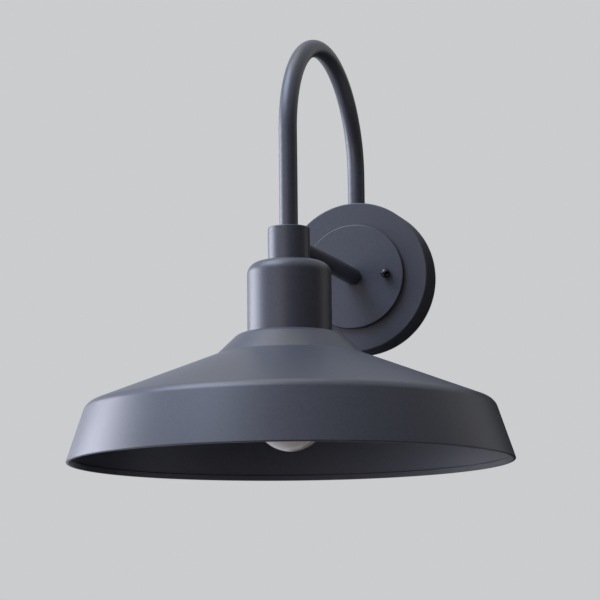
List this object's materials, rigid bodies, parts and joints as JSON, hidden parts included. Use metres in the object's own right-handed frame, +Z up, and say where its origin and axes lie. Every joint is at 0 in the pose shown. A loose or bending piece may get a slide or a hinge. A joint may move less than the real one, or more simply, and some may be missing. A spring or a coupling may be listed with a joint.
{
  "type": "gooseneck wall sconce",
  "caption": "Wall light with a wide shallow cone shade under a socket cup, held by a gooseneck tube and a straight strut from a deep round stepped backplate.",
  "frame": {"origin": "middle of the bracket's back face, on the wall", "axes": "+Y into the wall, +Z up, +X to the right for someone who faces the wall; the lamp stands out towards -Y"},
  "size_m": [0.3555, 0.3777, 0.3697],
  "materials": {
    "powder_coat": "satin slate-black powder coat",
    "black_enamel": "gloss black enamel",
    "zinc_steel": "zinc plated",
    "gasket_foam": "closed-cell foam",
    "silicone": "moulded silicone",
    "porcelain": "glazed",
    "brass": "stamped",
    "phenolic": "moulded",
    "lamp_glass": "etched inside",
    "stem_glass": "clear",
    "cap_metal": "rolled",
    "cement": "matt",
    "black_glass": "glossy",
    "solder": "dull",
    "tungsten": "drawn",
    "black_insulation": "extruded",
    "white_insulation": "extruded",
    "green_insulation": "extruded",
    "connector_plastic": "moulded",
    "green_steel": "dyed zinc plate",
    "tinned_copper": "tinned"
  },
  "bodies": {
    "root": {"wall_gasket": "gasket_foam", "mounting_bracket": "zinc_steel", "mounting_studs": "zinc_steel", "stud_nuts": "zinc_steel", "cap_nuts": "black_enamel", "backplate": "powder_coat", "gooseneck_tube": "powder_coat", "strut_tube": "powder_coat", "hub": "powder_coat", "socket_cup": "powder_coat", "shade": "powder_coat", "shade_gasket": "silicone", "shade_ring": "phenolic", "saddle_bracket": "zinc_steel", "saddle_screws": "zinc_steel", "lampholder_body": "porcelain", "lampholder_shell": "brass", "centre_contact": "brass", "contact_screw": "brass", "terminal_screws": "brass", "black_lead": "black_insulation", "white_lead": "white_insulation", "wire_connectors": "connector_plastic", "fixture_ground_lug": "tinned_copper", "bracket_ground_lug": "tinned_copper", "ground_wire": "green_insulation", "ground_screw": "green_steel", "strut_wall_bushing": "zinc_steel", "strut_wall_nipple": "zinc_steel", "strut_hub_bushing": "zinc_steel", "strut_hub_nipple": "zinc_steel", "gooseneck_wall_bushing": "zinc_steel", "gooseneck_wall_nipple": "zinc_steel", "gooseneck_hub_bushing": "zinc_steel", "gooseneck_hub_nipple": "zinc_steel", "cup_nipple": "zinc_steel", "strut_lock_washer": "zinc_steel", "strut_lock_nut": "zinc_steel", "gooseneck_lock_washer": "zinc_steel", "gooseneck_lock_nut": "zinc_steel", "cup_lock_washer": "zinc_steel", "cup_lock_nut": "zinc_steel"},
    "bulb_travel": {"bulb_insulator": "black_glass", "bulb_contact": "solder"},
    "bulb": {"bulb_glass": "lamp_glass", "bulb_cap": "cap_metal", "cap_cement": "cement", "bulb_stem": "stem_glass", "filament_wires": "tungsten", "filament": "tungsten"}
  },
  "joints": [
    {"name": "bulb_out", "type": "slide", "parent": "root", "child": "bulb_travel", "axis": [0, 0, -1], "range_m": [0, 0.01815]},
    {"name": "bulb_unscrew", "type": "hinge", "parent": "bulb_travel", "child": "bulb", "pos_m": [0, -0.2, -0.1], "axis": [0, 0, -1], "range_deg": [0, 1800]}
  ],
  "couplings": [
    {"joint": "bulb_out", "follows": "bulb_unscrew", "m_per_rad": 0.00057773}
  ]
}
